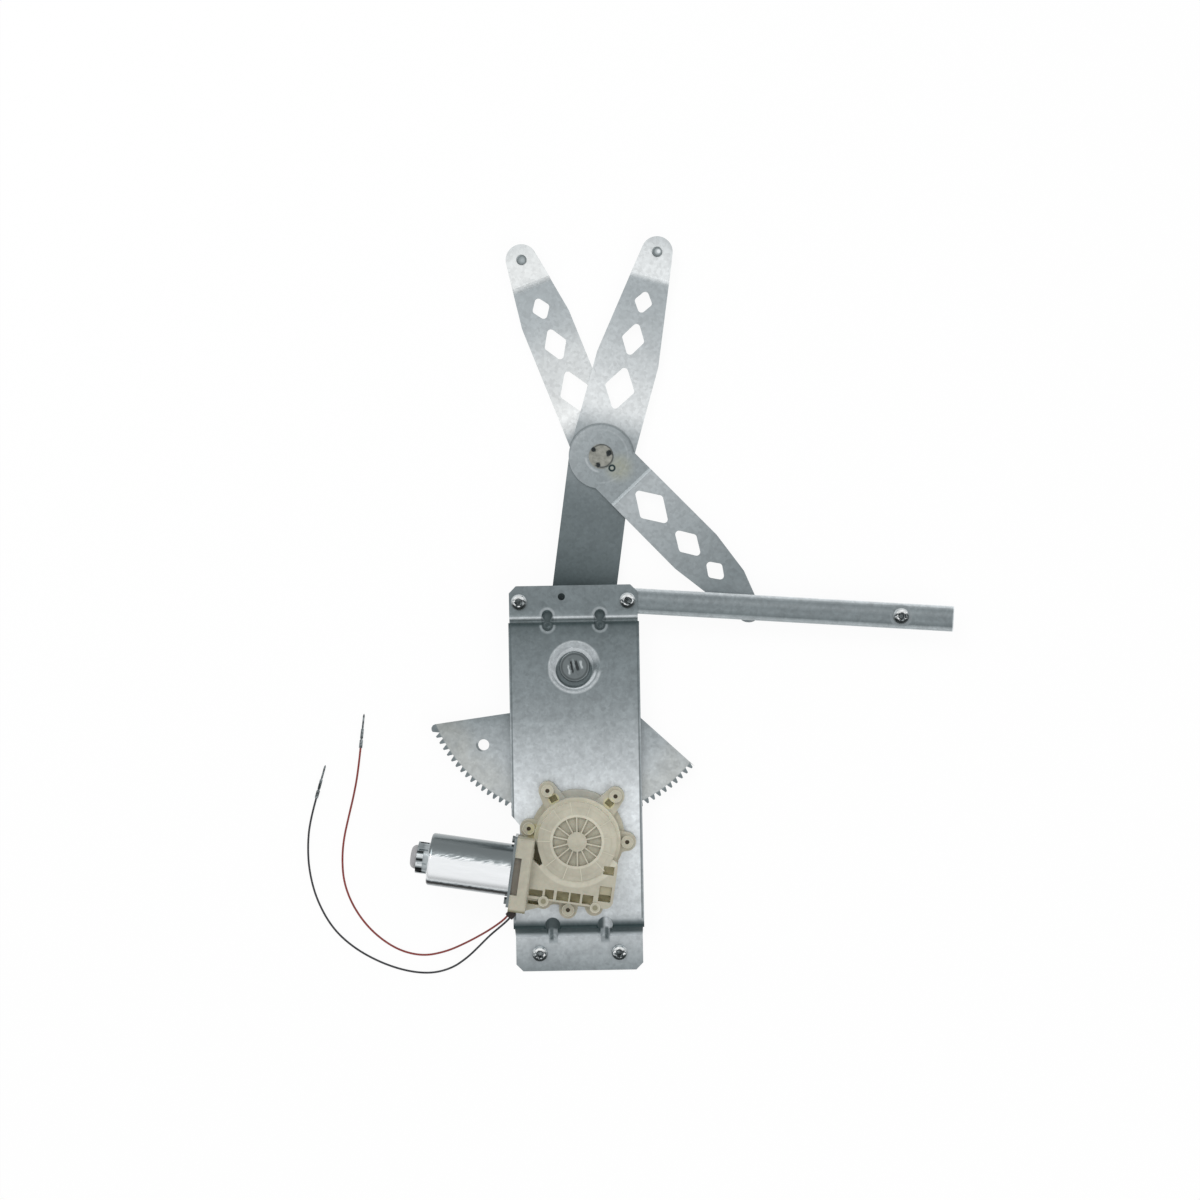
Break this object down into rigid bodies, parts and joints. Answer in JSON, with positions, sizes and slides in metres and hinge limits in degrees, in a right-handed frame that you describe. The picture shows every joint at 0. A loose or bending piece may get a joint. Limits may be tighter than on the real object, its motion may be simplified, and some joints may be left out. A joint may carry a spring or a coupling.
{
  "type": "window regulator",
  "caption": "Electric cross-arm window regulator: a gear motor turns a toothed sector, and scissor arms running in a guide rail raise and lower a vehicle's door glass.",
  "frame": {"origin": "middle of the bottom mounting flange's back face, on the line of its two nuts, with the regulator lying on its back", "axes": "+Y up the door, from the bottom flange to the arm tips; +X along the guide rail, away from the motor; +Z out of the plate to the motor side"},
  "size_m": [0.5134, 0.5806, 0.0543],
  "materials": {
    "zinc_plate": "galvanised sheet steel with fine zinc spangle",
    "zinc_rail": "galvanised rolled channel",
    "zinc_arm": "galvanised pressed strip, cloudy grey",
    "zinc_sector": "galvanised blanked sheet, sheared teeth",
    "nut_chrome": "bright plated clinch nuts",
    "rivet_steel": "oiled steel rivets and washers",
    "roller_plastic": "white acetal rollers",
    "housing_nylon": "ivory glass-filled nylon, satin",
    "cover_plastic": "olive-grey moulded cover",
    "screw_steel": "plated screws and pins",
    "can_chrome": "bright plated drawn steel can",
    "cup_steel": "bright slotted bearing cup",
    "cap_grey": "grey end cap",
    "bearing_bronze": "sintered bronze",
    "flange_steel": "plated flange",
    "magnet_ferrite": "ferrite magnet arcs",
    "shaft_steel": "ground steel",
    "core_steel": "stacked laminations",
    "winding_copper": "enamelled copper",
    "carbon": "carbon brushes",
    "wheel_plastic": "acetal worm wheel",
    "damper_rubber": "rubber damper",
    "grommet_rubber": "rubber sleeve",
    "red_insulation": "dull red wire insulation",
    "black_insulation": "black wire insulation",
    "terminal_tin": "tinned crimp pins"
  },
  "bodies": {
    "root": {"base_plate": "zinc_plate", "guide_rail": "zinc_rail", "plate_nuts": "nut_chrome", "rail_nuts": "nut_chrome", "main_pivot_rivet": "rivet_steel", "pivot_washer": "rivet_steel", "gear_housing": "housing_nylon", "gear_cover": "cover_plastic", "motor_screws": "screw_steel", "cover_pins": "screw_steel", "can_screws": "screw_steel", "motor_can": "can_chrome", "bearing_cup": "cup_steel", "end_cap": "cap_grey", "rear_bearing": "bearing_bronze", "front_bearing": "bearing_bronze", "motor_flange": "flange_steel", "magnets": "magnet_ferrite", "brush_holder": "cover_plastic", "brushes": "carbon", "wire_grommet": "grommet_rubber", "red_wire": "red_insulation", "black_wire": "black_insulation", "red_terminal": "terminal_tin", "black_terminal": "terminal_tin"},
    "main_arm": {"main_arm": "zinc_arm", "sector_gear": "zinc_sector", "sector_rivets": "rivet_steel", "main_roller_pin": "rivet_steel"},
    "main_roller": {"main_roller": "roller_plastic"},
    "cross_arm": {"cross_arm_lower": "zinc_arm", "cross_arm_upper": "zinc_arm", "cross_pivot_bush": "rivet_steel", "guide_roller_pin": "rivet_steel", "upper_roller_pin": "rivet_steel"},
    "guide_roller": {"guide_roller": "roller_plastic"},
    "upper_roller": {"upper_roller": "roller_plastic"},
    "output_gear": {"worm_wheel": "wheel_plastic", "damper": "damper_rubber", "drive_plate": "rivet_steel", "output_pinion": "shaft_steel"},
    "armature": {"armature_shaft": "shaft_steel", "armature_core": "core_steel", "armature_windings": "winding_copper", "commutator": "winding_copper"}
  },
  "joints": [
    {"name": "main_arm_pivot", "type": "hinge", "parent": "root", "child": "main_arm", "pos_m": [0, 0.2275, 0.008], "axis": [0, 0, 1], "range_deg": [-30, 0]},
    {"name": "cross_arm_pivot", "type": "hinge", "parent": "main_arm", "child": "cross_arm", "pos_m": [0.02385, 0.39299, 0.008], "axis": [0, 0, 1], "range_deg": [0, 42]},
    {"name": "output_shaft", "type": "hinge", "parent": "root", "child": "output_gear", "pos_m": [0, 0.09275, 0.02], "axis": [0, 0, 1], "range_deg": [0, 258.75]},
    {"name": "armature_spin", "type": "hinge", "parent": "root", "child": "armature", "pos_m": [-0.00469, 0.06312, 0.034], "axis": [0.9877, -0.1564, 0], "continuous": true},
    {"name": "main_roller_spin", "type": "hinge", "parent": "main_arm", "child": "main_roller", "pos_m": [0.07078, 0.55347, 0.005], "axis": [0, 0, 1], "continuous": true},
    {"name": "upper_roller_spin", "type": "hinge", "parent": "cross_arm", "child": "upper_roller", "pos_m": [-0.03634, 0.54898, 0.005], "axis": [0, 0, 1], "continuous": true},
    {"name": "guide_roller_spin", "type": "hinge", "parent": "cross_arm", "child": "guide_roller", "pos_m": [0.13811, 0.26929, 0.017], "axis": [0, 0, 1], "continuous": true}
  ],
  "couplings": [
    {"joint": "cross_arm_pivot", "follows": "main_arm_pivot", "ratio": -1.4},
    {"joint": "output_shaft", "follows": "main_arm_pivot", "ratio": -8.625}
  ]
}
